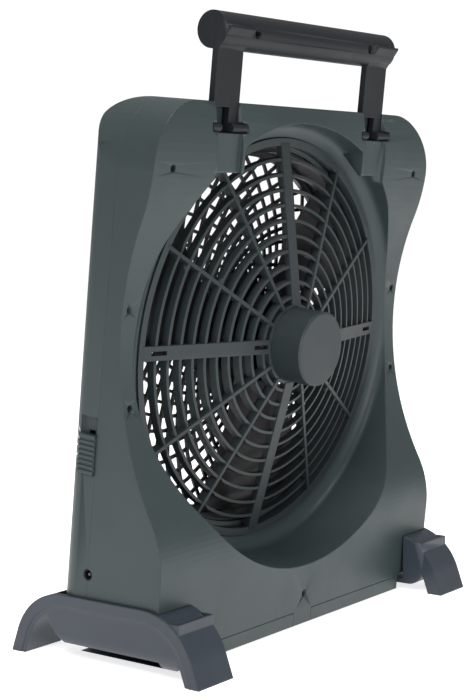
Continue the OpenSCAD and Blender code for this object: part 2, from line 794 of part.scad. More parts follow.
// Conical spring: r0 and r1 are the radii of its ends
module coil(r0, r1, length, turns, wire) {
    n = turns * 14;
    k = 6;
    at = function (i, j) i * k + j % k;
    polyhedron(
        points = [for (i = [0 : n], j = [0 : k - 1])
            let (a = 360 * turns * i / n, r = r0 + (r1 - r0) * i / n + wire * cos(360 * j / k))
            [r * cos(a), r * sin(a), length * i / n + wire * sin(360 * j / k)]],
        faces = concat(
            [for (i = [0 : n - 1], j = [0 : k - 1], h = [0, 1])
                h == 0 ? [at(i, j), at(i, j + 1), at(i + 1, j + 1)] : [at(i, j), at(i + 1, j + 1), at(i + 1, j)]],
            [[for (j = [k - 1 : -1 : 0]) at(0, j)], [for (j = [0 : k - 1]) at(n, j)]]));
}

module battery_springs() {
    wire = 0.5;
    start = -bay_half + contact_t + 0.1 + wire;
    color(STEEL) leaned() at_cells() translate([0, 0, start])
        coil(7.5, 4.5, cell_front - cell_nub_l - cell_l - start - wire - 0.05, 3, wire);
}

module battery_door() {
    x0 = door_x0 + door_gap;
    x1 = door_x1 - door_gap;
    difference() {
        union() {
            box([x0, door_hinge_y, bottom_z], [x1, rear_depth, bottom_z + wall]);
            rod_x(wall / 2, door_hinge_y, door_hinge_z, x0, x1);
            rod_x(door_pin_r, door_hinge_y, door_hinge_z, x0 - door_pin_l + 0.6, x1 + door_pin_l - 0.6);
            box([x0, rear_depth - wall, bottom_z], [x1, rear_depth, bottom_z + lip_h - door_gap]);
        }
        for (i = [0 : 4]) box([x0 + 35, rear_depth - 22 + 3 * i, 0], [x1 - 35, rear_depth - 20.8 + 3 * i, bottom_z + 0.6]);
    }
}

module battery_door_left() {
    color(SHELL) leaned() battery_door();
}

module battery_door_right() {
    color(SHELL) leaned() mirror([1, 0, 0]) battery_door();
}

// ---------- controls ----------

module switch_body() {
    color(BLACK) leaned() difference() {
        box([pad_x - 0.1 - switch_deep, knob_y - 5, stem_z - 4],
            [pad_x - 0.1, knob_y + 5, stem_z + stem_l + knob_travel + 4]);
        box([pad_x - 6, knob_y - stem_w / 2 - knob_gap, stem_z - knob_gap],
            [pad_x, knob_y + stem_w / 2 + knob_gap, stem_z + stem_l + knob_travel + knob_gap]);
    }
}

module switch_knob() {
    color(TRIM) leaned() {
        difference() {
            box([half_w - knob_recess + 0.3, knob_y - knob_w / 2, knob_z],
                [half_w + knob_out, knob_y + knob_w / 2, knob_z + knob_l]);
            for (i = [1 : 7])
                translate([half_w + knob_out, knob_y, knob_z + knob_l * i / 8])
                    cube([1.4, 2 * knob_w, 1.5], center = true);
        }
        box([pad_x - 5, knob_y - stem_w / 2, stem_z],
            [half_w - knob_recess + 0.5, knob_y + stem_w / 2, stem_z + stem_l]);
    }
}

module dc_jack() {
    color(BLACK) leaned() difference() {
        union() {
            rod_x(socket_r + 0.6, jack_y, jack_z, half_w - 3 * wall + 0.1, half_w - 0.3);
            box([half_w - wall - 10, jack_y - 5, jack_z - 5], [half_w - wall - 0.1, jack_y + 5, jack_z + 5]);
        }
        rod_x(socket_r, jack_y, jack_z, half_w - jack_depth, half_w + 1);
        rod_x(jack_pin_r, jack_y, jack_z, half_w - jack_depth - 1.5, half_w);
    }
}

module dc_jack_pin() {
    color(STEEL) leaned() rod_x(jack_pin_r, jack_y, jack_z, half_w - jack_depth - 1.5, half_w - 1.5);
}

// ---------- handle ----------

// Side view of the arm and its bracket
module arm_side() {
    polygon([[arm_face_y - arm_t, hinge_z - trunnion_r], [arm_face_y, hinge_z - trunnion_r],
        [arm_face_y, grip_z - grip_r], [arm_face_y + bracket_out, grip_z + 1.5],
        [arm_face_y + bracket_out, grip_z + 3], [grip_y, grip_z + 3], [grip_y + 1, grip_z - 2],
        [arm_face_y - arm_t, grip_z - 6]]);
    square_y = hinge_y - arm_face_y + 1;
    translate([arm_face_y - 1, hinge_z - trunnion_r]) square([square_y, 2 * trunnion_r]);
}

// Hollow grip tube about its own axis, closed at both ends
module grip_tube() {
    difference() {
        rod_x(grip_r, grip_y, grip_z, -handle_w / 2, handle_w / 2);
        rod_x(grip_r - grip_wall, grip_y, grip_z, grip_wall - handle_w / 2, handle_w / 2 - grip_wall);
    }
    intersection() {
        for (s = [-1, 1]) rod_y(3.4, s * grip_screw_x, grip_z, grip_y - grip_r + 1, grip_y + grip_r - 1);
        rod_x(grip_r - 1, grip_y, grip_z, -handle_w / 2, handle_w / 2);
    }
}

module handle_frame() {
    color(TRIM) leaned() difference() {
        union() {
            intersection() {
                grip_tube();
                box([-far, grip_y, 0], [far, far, 3 * far]);
            }
            for (s = [-1, 1]) {
                x = s * arm_x;
                intersection() {
                    along_x(x - arm_w / 2, x + arm_w / 2) arm_side();
                    box([-far, -far, 0], [far, far, grip_z + 3]);
                }
                rod_x(trunnion_r, hinge_y, hinge_z, x - arm_w / 2 - pocket_l + 0.1, x + arm_w / 2 + stub_l);
            }
        }
        for (s = [-1, 1]) {
            slot_x1 = s * arm_x + arm_w / 2 - 4;
            box([slot_x1 - slot_w, -far, hinge_z - far], [slot_x1, far, hinge_z + slot_h]);
            rod_y(screw_hole_r + 0.6, s * grip_screw_x, grip_z, grip_y + 4, far);
            rod_y(screw_shank_r + 0.2, s * grip_screw_x, grip_z, grip_y - 1, far);
        }
    }
}

module grip_front() {
    color(TRIM) leaned() difference() {
        intersection() {
            grip_tube();
            box([-far, -far, 0], [far, grip_y, 3 * far]);
        }
        for (s = [-1, 1]) rod_y(screw_shank_r - bite, s * grip_screw_x, grip_z, grip_y - 7.5, grip_y + 1);
    }
}

module grip_screws() {
    color(STEEL) leaned() for (s = [-1, 1]) difference() {
        union() {
            rod_y(screw_shank_r, s * grip_screw_x, grip_z, grip_y - 7, grip_y + 4.5);
            rod_y(screw_head_r, s * grip_screw_x, grip_z, grip_y + 4, grip_y + 6);
        }
        for (a = [0, 90]) translate([s * grip_screw_x, grip_y + 6, grip_z]) rotate([0, a, 0])
            cube([2.6, 1.6, 0.6], center = true);
    }
}

// ---------- feet ----------

// Reach on the floor of the arch's curve of radius r
function toe(r) = arch_c[0] + (r + sin(arch_leg_tilt)) / cos(arch_leg_tilt);

// Side view of the arch between two of its radii
module arch_side(r_in, r_out) {
    front_c = [-arch_c[0], arch_c[1]];
    polygon(concat(
        [[toe(r_out), 0]],
        arc(arch_c, r_out, arch_leg_tilt, 90, arch_steps),
        arc(front_c, r_out, 90, 180 - arch_leg_tilt, arch_steps),
        [[-toe(r_out), 0], [-toe(r_in), 0]],
        arc(front_c, r_in, 180 - arch_leg_tilt, 90, arch_steps),
        arc(arch_c, r_in, 90, arch_leg_tilt, arch_steps),
        [[toe(r_in), 0]]));
}

// Side view of the boat-shaped side panel, moved inwards by t
module boat_side(t) {
    front_c = [boat_front[0], boat_bottom + boat_front[1]];
    rear_c = [boat_rear[0], boat_bottom + boat_rear[1]];
    difference() {
        translate([boat_y[0], boat_bottom + t])
            square([boat_y[1] - boat_y[0] - t, arch_h - arch_t / 2 - boat_bottom - t]);
        difference() {
            translate([front_c[0] - far, 0]) square([far, front_c[1]]);
            translate(front_c) circle(r = boat_front[1] - t, $fn = 180);
        }
        difference() {
            translate([rear_c[0], 0]) square([far, rear_c[1]]);
            translate(rear_c) circle(r = boat_rear[1] - t, $fn = 96);
        }
    }
}

// Boat-shaped side panel as a solid, moved inwards by t
module boat(t) {
    panel_x = foot_outer_x - 0.7;
    intersection() {
        along_x(foot_inner_x, panel_x - t) boat_side(t);
        along_y(-far, far)
            round_rect([0, boat_bottom + t], [panel_x - t, far], [0, boat_round - t, 0, 0]);
    }
}

module foot() {
    difference() {
        union() {
            along_x(foot_inner_x, foot_outer_x) arch_side(arch_r - arch_t + arch_rim, arch_r);
            along_x(foot_inner_x, foot_outer_x - arch_step) arch_side(arch_r - arch_t, arch_r - arch_rim);
            difference() {
                boat(0);
                intersection() {
                    boat(boat_skin);
                    box([foot_inner_x + foot_web, -far, 0], [far, far, far]);
                }
            }
        }
        box([0, -body_front, boat_bottom + boat_skin], [half_w + foot_gap, body_rear, far]);
    }
    difference() {
        rod_x(pivot_r, 0, pivot_h, half_w - pivot_l - 0.2, half_w + foot_gap + 0.5);
        rod_x(foot_screw_r - bite, 0, pivot_h, 0, half_w - 0.5);
    }
}

module foot_left() {
    color(TRIM) foot();
}

module foot_right() {
    color(TRIM) mirror([1, 0, 0]) foot();
}

module foot_screw() {
    x = half_w - pivot_l - 0.2;
    rod_x(foot_screw_r, 0, pivot_h, x - 0.5, half_w - 1);
    difference() {
        rod_x(foot_washer_r, 0, pivot_h, x - 1.5, x);
        for (a = [0, 90]) translate([x - 1.5, 0, pivot_h]) rotate([a, 0, 0]) cube([1.6, 5, 1], center = true);
    }
}

module foot_screw_left() {
    color(STEEL) foot_screw();
}

module foot_screw_right() {
    color(STEEL) mirror([1, 0, 0]) foot_screw();
}

// ---------- pieces ----------

front_shell();
rear_shell();
front_grille();
fan_duct();
front_badge();
rear_grille();
housing_screws();
motor_housing();
motor_can();
motor_end_cap();
motor_magnets();
motor_bearings();
motor_armature();
motor_shaft();
fan_blades();
shaft_nut();
battery_box();
battery_cells();
battery_springs();
contact_plates();
battery_door_left();
battery_door_right();
switch_body();
switch_knob();
dc_jack();
dc_jack_pin();
handle_frame();
grip_front();
grip_screws();
foot_left();
foot_right();
foot_screw_left();
foot_screw_right();
motor_wires();
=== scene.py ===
"""Looks of a portable box fan: finishes and smooth-shaded mouldings over a fixed frame."""

import enum
import logging
import math
from dataclasses import dataclass, field
from typing import Sequence

import bmesh
import bpy
from mathutils import Matrix, Quaternion, Vector


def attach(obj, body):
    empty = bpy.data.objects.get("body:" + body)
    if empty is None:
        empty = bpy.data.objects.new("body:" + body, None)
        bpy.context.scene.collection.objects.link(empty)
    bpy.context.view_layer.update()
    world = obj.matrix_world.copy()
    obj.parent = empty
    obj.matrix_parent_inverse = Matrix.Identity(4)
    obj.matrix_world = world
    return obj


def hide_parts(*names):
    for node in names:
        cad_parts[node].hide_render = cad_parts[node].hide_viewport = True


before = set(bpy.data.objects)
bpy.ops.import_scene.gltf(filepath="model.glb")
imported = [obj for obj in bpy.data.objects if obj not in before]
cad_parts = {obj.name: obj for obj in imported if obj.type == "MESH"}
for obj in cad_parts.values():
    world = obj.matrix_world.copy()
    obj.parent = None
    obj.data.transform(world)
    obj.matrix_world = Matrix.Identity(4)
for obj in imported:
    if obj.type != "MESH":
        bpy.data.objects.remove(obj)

LOG = logging.getLogger("box_fan")
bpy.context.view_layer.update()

LEAN = math.radians(6.1)
PIVOT_HEIGHT = 0.030
MERGE_DISTANCE = 0.000004   # vertices of a node closer than this are one
FLAT_ANGLE = 0.05           # degrees between faces that count as one flat
EVEN_WEIGHT = 80            # how much large faces steer the shading
WAVE_BANDS = 6.3            # bands that a wave pattern draws at a scale of 1
LEAN_MATRIX = (
    Matrix.Translation((0, 0, PIVOT_HEIGHT))
    @ Matrix.Rotation(-LEAN, 4, "X")
    @ Matrix.Translation((0, 0, -PIVOT_HEIGHT))
)


class Slot(enum.Enum):
    """Material slots of the record; the pieces built here do not use them."""

    HOUSING = "housing_plastic"
    TRIM = "trim_plastic"
    GRILLE = "grille_plastic"
    BLACK = "black_plastic"
    STEEL = "steel"


# ---------- finishes ----------


class Shader:
    """A small helper that builds one material's node tree."""

    def __init__(self, name: str) -> None:
        """Starts a material with a Principled shader.

        Args:
            name: The material's name.
        """
        self.material = bpy.data.materials.new(name)
        self.material.use_nodes = True
        self.tree = self.material.node_tree
        self.principled = self.tree.nodes["Principled BSDF"]
        coordinates = self.tree.nodes.new("ShaderNodeTexCoord")
        self.place = coordinates.outputs["Object"]

    def noise(self, scale: float, detail: float = 3.0, roughness: float = 0.55,
              stretch: Sequence[float] = (1.0, 1.0, 1.0)) -> bpy.types.NodeSocket:
        """Adds a noise in object space.

        Args:
            scale: Features per metre.
            detail: Number of octaves.
            roughness: How strong the fine octaves are.
            stretch: Scale along each axis.

        Returns:
            The noise's factor output.
        """
        mapping = self.tree.nodes.new("ShaderNodeMapping")
        mapping.inputs["Scale"].default_value = stretch
        self.tree.links.new(self.place, mapping.inputs["Vector"])
        node = self.tree.nodes.new("ShaderNodeTexNoise")
        node.inputs["Scale"].default_value = scale
        node.inputs["Detail"].default_value = detail
        node.inputs["Roughness"].default_value = roughness
        self.tree.links.new(mapping.outputs["Vector"], node.inputs["Vector"])
        return node.outputs["Fac"]

    def ramp(self, value: bpy.types.NodeSocket, low: Sequence[float], high: Sequence[float],
             start: float = 0.3, end: float = 0.7) -> bpy.types.NodeSocket:
        """Maps a value to a blend of two colours.

        Args:
            value: The value to map.
            low: Colour at and below start.
            high: Colour at and above end.
            start: Value where the blend starts.
            end: Value where the blend ends.

        Returns:
            The colour output.
        """
        node = self.tree.nodes.new("ShaderNodeValToRGB")
        node.color_ramp.elements[0].position = start
        node.color_ramp.elements[0].color = (*low[:3], 1.0)
        node.color_ramp.elements[1].position = end
        node.color_ramp.elements[1].color = (*high[:3], 1.0)
        self.tree.links.new(value, node.inputs["Fac"])
        return node.outputs["Color"]

    def span(self, value: bpy.types.NodeSocket, low: float, high: float) -> bpy.types.NodeSocket:
        """Maps the range 0.3 to 0.7 of a value to a span of numbers.

        Args:
            value: The value to map.
            low: Result at 0.3.
            high: Result at 0.7.

        Returns:
            The mapped output.
        """
        node = self.tree.nodes.new("ShaderNodeMapRange")
        node.inputs["From Min"].default_value = 0.3
        node.inputs["From Max"].default_value = 0.7
        node.inputs["To Min"].default_value = low
        node.inputs["To Max"].default_value = high
        self.tree.links.new(value, node.inputs["Value"])
        return node.outputs["Result"]

    def bump(self, height: bpy.types.NodeSocket, depth: float, strength: float = 1.0,
             under: bpy.types.NodeSocket | None = None) -> bpy.types.NodeSocket:
        """Adds a bump layer.

        Args:
            height: Height pattern from 0 to 1.
            depth: Depth of the pattern in metres.
            strength: Strength of the layer.
            under: Normal of the layer below.

        Returns:
            The normal output.
        """
        node = self.tree.nodes.new("ShaderNodeBump")
        node.inputs["Strength"].default_value = strength
        node.inputs["Distance"].default_value = depth
        self.tree.links.new(height, node.inputs["Height"])
        if under is not None:
            self.tree.links.new(under, node.inputs["Normal"])
        return node.outputs["Normal"]

    def rounded(self, radius: float) -> bpy.types.NodeSocket:
        """Adds the soft light that a small edge round catches.

        Args:
            radius: Radius of the round in metres.

        Returns:
            The normal output.
        """
        node = self.tree.nodes.new("ShaderNodeBevel")
        node.samples = 6
        node.inputs["Radius"].default_value = radius
        return node.outputs["Normal"]

    def link(self, output: bpy.types.NodeSocket, socket: str) -> None:
        """Links an output to a socket of the Principled shader."""
        self.tree.links.new(output, self.principled.inputs[socket])

    def set(self, socket: str, value: float | Sequence[float]) -> None:
        """Sets a socket of the Principled shader."""
        self.principled.inputs[socket].default_value = value


@dataclass(frozen=True)
class MouldedPlastic:
    """Satin moulded plastic with a spark-eroded grain.

    Attributes:
        name: Name of the material.
        colour: Linear base colour.
        roughness: Middle roughness.
        grain: Grain features per metre.
        grain_depth: Depth of the grain in metres.
        specular: Specular level.
        streak: Strength of the broad flow shading, 0 to 1.
        coat: Weight of a thin sheen coat.
        edge: Radius of the rounded edges in metres.
        flow: Broad flow marks per metre.
        handled: Patches of wear per metre.
        ripple: Waves of the surface per metre.
        ripple_depth: Depth of those waves in metres.
    """

    name: str
    colour: tuple[float, float, float]
    roughness: float = 0.42
    grain: float = 2600.0
    grain_depth: float = 0.00004
    specular: float = 0.3
    streak: float = 0.10
    coat: float = 0.0
    edge: float = 0.0006
    flow: float = 9.0
    handled: float = 38.0
    ripple: float = 55.0
    ripple_depth: float = 0.00012

    def make(self) -> bpy.types.Material:
        """Returns the finished material."""
        s = Shader(self.name)
        broad = s.noise(self.flow, 4.0, 0.6, (1.0, 1.0, 0.5))
        dark = [c * (1 - self.streak) for c in self.colour]
        light = [c * (1 + self.streak) for c in self.colour]
        s.link(s.ramp(broad, dark, light), "Base Color")
        worn = s.noise(self.handled, 6.0, 0.65)
        s.link(s.span(worn, self.roughness - 0.05, self.roughness + 0.07), "Roughness")
        grain = s.noise(self.grain, 2.0, 0.6)
        waves = s.noise(self.ripple, 2.0, 0.4)
        low = s.bump(waves, self.ripple_depth, 0.25, s.rounded(self.edge))
        s.link(s.bump(grain, self.grain_depth, 0.8, low), "Normal")
        s.set("Specular IOR Level", self.specular)
        s.set("Coat Weight", self.coat)
        s.set("Coat Roughness", 0.25)
        return s.material


@dataclass(frozen=True)
class Metal:
    """Bare or plated metal with fine brushing.

    Attributes:
        name: Name of the material.
        colour: Linear base colour.
        roughness: Middle roughness.
        brush: Stretch of the brushing along each axis.
        tarnish: Patches of tarnish per metre.
        lines: Brush lines per metre.
        depth: Depth of the brush lines in metres.
    """

    name: str
    colour: tuple[float, float, float]
    roughness: float = 0.3
    brush: tuple[float, float, float] = (1.0, 14.0, 1.0)
    tarnish: float = 60.0
    lines: float = 900.0
    depth: float = 0.00003

    def make(self) -> bpy.types.Material:
        """Returns the finished material."""
        s = Shader(self.name)
        s.set("Metallic", 1.0)
        patches = s.noise(self.tarnish, 5.0, 0.6)
        s.link(s.ramp(patches, [c * 0.82 for c in self.colour], self.colour), "Base Color")
        brushed = s.noise(self.lines, 2.0, 0.5, self.brush)
        s.link(s.span(brushed, self.roughness - 0.07, self.roughness + 0.1), "Roughness")
        s.link(s.bump(brushed, self.depth, 0.5), "Normal")
        return s.material


@dataclass(frozen=True)
class Winding:
    """Varnished copper winding, seen as fine ridges.

    Attributes:
        name: Name of the material.
        pitch: Wires per metre.
        shadow: Linear colour between the wires.
        copper: Linear colour of the wires.
        waviness: How unevenly the wires lie.
        varnish: Weight of the varnish.
    """

    name: str = "varnished_winding"
    pitch: float = 2200.0
    shadow: tuple[float, float, float] = (0.20, 0.06, 0.02)
    copper: tuple[float, float, float] = (0.55, 0.20, 0.08)
    waviness: float = 1.2
    varnish: float = 0.6

    def make(self) -> bpy.types.Material:
        """Returns the finished material."""
        s = Shader(self.name)
        wave = s.tree.nodes.new("ShaderNodeTexWave")
        wave.bands_direction = "X"
        wave.inputs["Scale"].default_value = self.pitch / WAVE_BANDS
        wave.inputs["Distortion"].default_value = self.waviness
        s.tree.links.new(s.place, wave.inputs["Vector"])
        colour = s.ramp(wave.outputs["Fac"], self.shadow, self.copper, 0.1, 0.9)
        s.link(colour, "Base Color")
        s.link(s.bump(wave.outputs["Fac"], 0.00015, 0.9), "Normal")
        s.set("Metallic", 0.85)
        s.set("Roughness", 0.32)
        s.set("Coat Weight", self.varnish)
        s.set("Coat Roughness", 0.15)
        return s.material


@dataclass(frozen=True)
class PlainInk:
    """Pad-printed ink.

    Attributes:
        name: Name of the material.
        colour: Linear colour of the ink.
    """

    name: str = "printed_ink"
    colour: tuple[float, float, float] = (0.72, 0.74, 0.74)

    def make(self) -> bpy.types.Material:
        """Returns the finished material."""
        s = Shader(self.name)
        worn = s.noise(1500.0, 3.0, 0.7)
        s.link(s.ramp(worn, [c * 0.75 for c in self.colour], self.colour, 0.35, 0.5), "Base Color")
        s.set("Roughness", 0.55)
        return s.material


@dataclass(frozen=True)
class Finishes:
    """Every finish of the fan, made once."""

    housing: bpy.types.Material
    trim: bpy.types.Material
    grille: bpy.types.Material
    front_grille: bpy.types.Material
    duct: bpy.types.Material
    handle: bpy.types.Material
    black: bpy.types.Material
    blade: bpy.types.Material
    steel: bpy.types.Material
    zinc_dark: bpy.types.Material
    brass: bpy.types.Material
    copper: bpy.types.Material
    magnet: bpy.types.Material
    cell: bpy.types.Material
    wire: bpy.types.Material
    ink: bpy.types.Material

    @classmethod
    def make(cls) -> "Finishes":
        """Returns the set of finishes."""
        return cls(
            housing=MouldedPlastic("grey_green_moulding", (0.028, 0.040, 0.041), 0.41, coat=0.05,
                                   edge=0.0011).make(),
            trim=MouldedPlastic("slate_moulding", (0.026, 0.033, 0.044), 0.34, coat=0.12,
                                edge=0.0013).make(),
            grille=MouldedPlastic("grille_moulding", (0.021, 0.028, 0.030), 0.44, 3200.0,
                                  edge=0.0004).make(),
            front_grille=MouldedPlastic("front_grille_moulding", (0.012, 0.015, 0.017), 0.42,
                                        3200.0, edge=0.0003).make(),
            duct=MouldedPlastic("duct_moulding", (0.010, 0.013, 0.014), 0.5, 3200.0).make(),
            handle=MouldedPlastic("handle_moulding", (0.009, 0.011, 0.013), 0.46, specular=0.22,
                                  edge=0.0009).make(),
            black=MouldedPlastic("black_moulding", (0.006, 0.0065, 0.0075), 0.5, 3000.0).make(),
            blade=MouldedPlastic("blade_moulding", (0.004, 0.004, 0.005), 0.33, 1800.0,
                                 0.00002).make(),
            steel=Metal("plated_steel", (0.62, 0.62, 0.64)).make(),
            zinc_dark=Metal("blackened_screw", (0.10, 0.10, 0.11), 0.4).make(),
            brass=Metal("bare_brass", (0.72, 0.52, 0.22), 0.28).make(),
            copper=Winding().make(),
            magnet=MouldedPlastic("ferrite", (0.028, 0.027, 0.029), 0.55, 1500.0,
                                  0.00008).make(),
            cell=MouldedPlastic("cell_wrap", (0.23, 0.25, 0.28), 0.28, 900.0, 0.00001,
                                coat=0.4).make(),
            wire=MouldedPlastic("wire_insulation", (0.012, 0.012, 0.013), 0.35, 900.0,
                                0.00001).make(),
            ink=PlainInk().make(),
        )


# ---------- mesh tools ----------


def link_piece(name: str, bm: bmesh.types.BMesh, material: bpy.types.Material,
               smooth_angle: float = 35.0) -> bpy.types.Object:
    """Turns a bmesh into a shaded piece at the origin.

    Args:
        name: Name of the piece.
        bm: The mesh, which is freed.
        material: Its finish.
        smooth_angle: Edges sharper than this many degrees stay sharp.

    Returns:
        The new object.
    """
    mesh = bpy.data.meshes.new(name)
    bm.to_mesh(mesh)
    bm.free()
    mesh.materials.clear()
    mesh.materials.append(material)
    mesh.shade_smooth()
    mesh.set_sharp_from_angle(angle=math.radians(smooth_angle))
    piece = bpy.data.objects.new(name, mesh)
    bpy.context.scene.collection.objects.link(piece)
    return piece


def lean_back(bm: bmesh.types.BMesh) -> None:
    """Leans an upright bmesh back with the housing."""
    bmesh.ops.transform(bm, matrix=LEAN_MATRIX, verts=bm.verts[:])


def soft_copy(node: str, name: str, body: str, material: bpy.types.Material,
              angle: float = 24.0) -> bpy.types.Object:
    """Copies a node's mesh, shades its curves smoothly and lets the copy stand for the node.

    Args:
        node: The node to copy.
        name: Name of the new piece.
        body: Body that the piece rides on.
        material: Its finish.
        angle: Edges sharper than this many degrees stay sharp.

    Returns:
        The new piece.
    """
    bm = bmesh.new()
    bm.from_mesh(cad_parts[node].data)
    bmesh.ops.remove_doubles(bm, verts=bm.verts[:], dist=MERGE_DISTANCE)
    bmesh.ops.dissolve_limit(bm, angle_limit=math.radians(FLAT_ANGLE), verts=bm.verts[:],
                             edges=bm.edges[:])
    bmesh.ops.triangulate(bm, faces=bm.faces[:], quad_method="BEAUTY", ngon_method="BEAUTY")
    piece = link_piece(name, bm, material, angle)
    even = piece.modifiers.new("even shading", "WEIGHTED_NORMAL")
    even.mode = "FACE_AREA_WITH_ANGLE"
    even.weight = EVEN_WEIGHT
    even.keep_sharp = True
    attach(piece, body)
    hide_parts(node)
    return piece


def dress(node: str, material: bpy.types.Material) -> None:
    """Gives a node that stays as it is its finish.

    Args:
        node: The node.
        material: The finish for all its slots.
    """
    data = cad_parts[node].data
    if not data.materials:
        data.materials.append(material)
    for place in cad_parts[node].material_slots:
        place.material = material


# ---------- sub-assemblies ----------


class SubAssembly:
    """Base of every sub-assembly."""

    def build(self, finishes: Finishes) -> list[bpy.types.Object]:
        """Builds the pieces that stand for nodes or add to them, if any."""
        return []

    def dress(self, finishes: Finishes) -> None:
        """Gives the nodes that stay as they are their finishes, if any."""


@dataclass
class Housing(SubAssembly):
    """The two shells, the badge and the screws."""

    def build(self, finishes: Finishes) -> list[bpy.types.Object]:
        """Builds the smooth-shaded shells and the badge.

        Args:
            finishes: The fan's finishes.

        Returns:
            The new pieces.
        """
        return [
            soft_copy("rear_shell", "rear_shell_moulding", "housing",
                      finishes.housing),
            soft_copy("front_shell", "front_shell_moulding", "housing",
                      finishes.housing),
            soft_copy("front_badge", "plain_badge", "housing", finishes.trim),
        ]

    def dress(self, finishes: Finishes) -> None:
        """Gives the screws their finish."""
        dress("housing_screws", finishes.zinc_dark)


@dataclass
class Grilles(SubAssembly):
    """The domed rear grille and the spiral front grille."""

    def build(self, finishes: Finishes) -> list[bpy.types.Object]:
        """Builds the grilles and the duct between them.

        Args:
            finishes: The fan's finishes.

        Returns:
            The new pieces.
        """
        return [
            soft_copy("rear_grille", "domed_rear_grille", "housing",
                      finishes.grille),
            soft_copy("front_grille", "spiral_front_grille", "housing",
                      finishes.front_grille),
            soft_copy("fan_duct", "round_fan_duct", "housing", finishes.duct),
            soft_copy("motor_housing", "motor_cup", "housing", finishes.grille),
        ]


@dataclass
class Motor(SubAssembly):
    """The motor in the cup of the rear grille."""

    def dress(self, finishes: Finishes) -> None:
        """Gives the motor's pieces their finishes."""
        dress("motor_can", finishes.steel)
        dress("motor_end_cap", finishes.black)
        dress("motor_magnets", finishes.magnet)
        dress("motor_bearings", finishes.brass)
        dress("motor_wires", finishes.wire)


@dataclass
class Rotor(SubAssembly):
    """The blades, shaft, nut and armature that spin together.

    Attributes:
        smooth_angle: Edges of the blades sharper than this many degrees stay sharp.
    """

    smooth_angle: float = 50.0

    def build(self, finishes: Finishes) -> list[bpy.types.Object]:
        """Builds the smooth blades.

        Args:
            finishes: The fan's finishes.

        Returns:
            The new pieces.
        """
        return [
            soft_copy("fan_blades", "moulded_fan_blades", "rotor", finishes.blade,
                      self.smooth_angle),
        ]

    def dress(self, finishes: Finishes) -> None:
        """Gives the turning metal its finishes."""
        dress("motor_shaft", finishes.steel)
        dress("motor_armature", finishes.copper)
        dress("shaft_nut", finishes.brass)


@dataclass
class BatteryBase(SubAssembly):
    """Battery box, cells, contacts and the two doors."""

    def build(self, finishes: Finishes) -> list[bpy.types.Object]:
        """Builds the smooth-shaded doors.

        Args:
            finishes: The fan's finishes.

        Returns:
            The new pieces.
        """
        return [
            soft_copy(f"battery_door_{side}", f"door_moulding_{side}", f"door_{side}",
                      finishes.housing)
            for side in ("left", "right")
        ]

    def dress(self, finishes: Finishes) -> None:
        """Gives the inner pieces their finishes."""
        dress("battery_box", finishes.black)
        dress("battery_cells", finishes.cell)
        dress("battery_springs", finishes.steel)
        dress("contact_plates", finishes.brass)


@dataclass
class Controls(SubAssembly):
    """Speed switch, power socket and the printed marks beside them.

    Attributes:
        half_width: Half of the housing's width.
        edge_centre: Upright Y of the centre of the front edge's round.
        edge_radius: Radius of the front edge.
        line_width: Width of a printed line.
        ink_height: How far the ink stands proud.
    """

    half_width: float = 0.1525
    edge_centre: float = -0.0245
    edge_radius: float = 0.014
    line_width: float = 0.0009
    ink_height: float = 0.00005
    marks: tuple[tuple[tuple[float, float], ...], ...] = field(default=(
        ((-0.0342, 0.1475), (-0.0338, 0.1430), (-0.0302, 0.1400)),
        ((-0.0342, 0.1385), (-0.0325, 0.1365), (-0.0302, 0.1350)),
        ((-0.0342, 0.1300), (-0.0325, 0.1310), (-0.0302, 0.1300)),
        ((-0.0342, 0.1205), (-0.0338, 0.1240), (-0.0302, 0.1255)),
    ))

    def side_x(self, y: float) -> float:
        """X of the housing's +X side where the upright Y is y, on its rounded front edge too."""
        over = min(0.0, y - self.edge_centre)
        return self.half_width - self.edge_radius + math.sqrt(self.edge_radius ** 2 - over ** 2)

    def printed_lines(self, material: bpy.types.Material) -> bpy.types.Object:
        """Builds the leader lines of the four speed positions as one thin print.

        Args:
            material: The ink.

        Returns:
            The print.
        """
        bm = bmesh.new()
        for path in self.marks:
            for (y0, z0), (y1, z1) in zip(path, path[1:]):
                run = math.hypot(y1 - y0, z1 - z0)
                turn = math.atan2(z1 - z0, y1 - y0)
                made = bmesh.ops.create_grid(bm, x_segments=4, y_segments=1, size=0.5)["verts"]
                for v in made:
                    along = (v.co.x + 0.5) * (run + self.line_width) - self.line_width / 2
                    across = v.co.y * self.line_width
                    y = y0 + along * math.cos(turn) - across * math.sin(turn)
                    z = z0 + along * math.sin(turn) + across * math.cos(turn)
                    v.co = (self.side_x(y) + self.ink_height, y, z)
        bmesh.ops.recalc_face_normals(bm, faces=bm.faces[:])
        lean_back(bm)
        piece = link_piece("printed_speed_lines", bm, material)
        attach(piece, "housing")
        return piece

    def build(self, finishes: Finishes) -> list[bpy.types.Object]:
        """Builds the knob and the print.

        Args:
            finishes: The fan's finishes.

        Returns:
            The new pieces.
        """
        knob = soft_copy("switch_knob", "ribbed_speed_knob", "knob",
                         finishes.housing)
        return [knob, self.printed_lines(finishes.ink)]

    def dress(self, finishes: Finishes) -> None:
        """Gives the switch and the socket their finishes."""
        dress("switch_body", finishes.black)
        dress("dc_jack", finishes.black)
        dress("dc_jack_pin", finishes.zinc_dark)


@dataclass
class Handle(SubAssembly):
    """The folding handle."""

    def build(self, finishes: Finishes) -> list[bpy.types.Object]:
        """Builds the smooth-shaded halves of the handle.

        Args:
            finishes: The fan's finishes.

        Returns:
            The new pieces.
        """
        return [
            soft_copy("handle_frame", "handle_moulding", "handle", finishes.handle),
            soft_copy("grip_front", "grip_moulding", "handle", finishes.handle),
        ]

    def dress(self, finishes: Finishes) -> None:
        """Gives the screws their finish."""
        dress("grip_screws", finishes.zinc_dark)


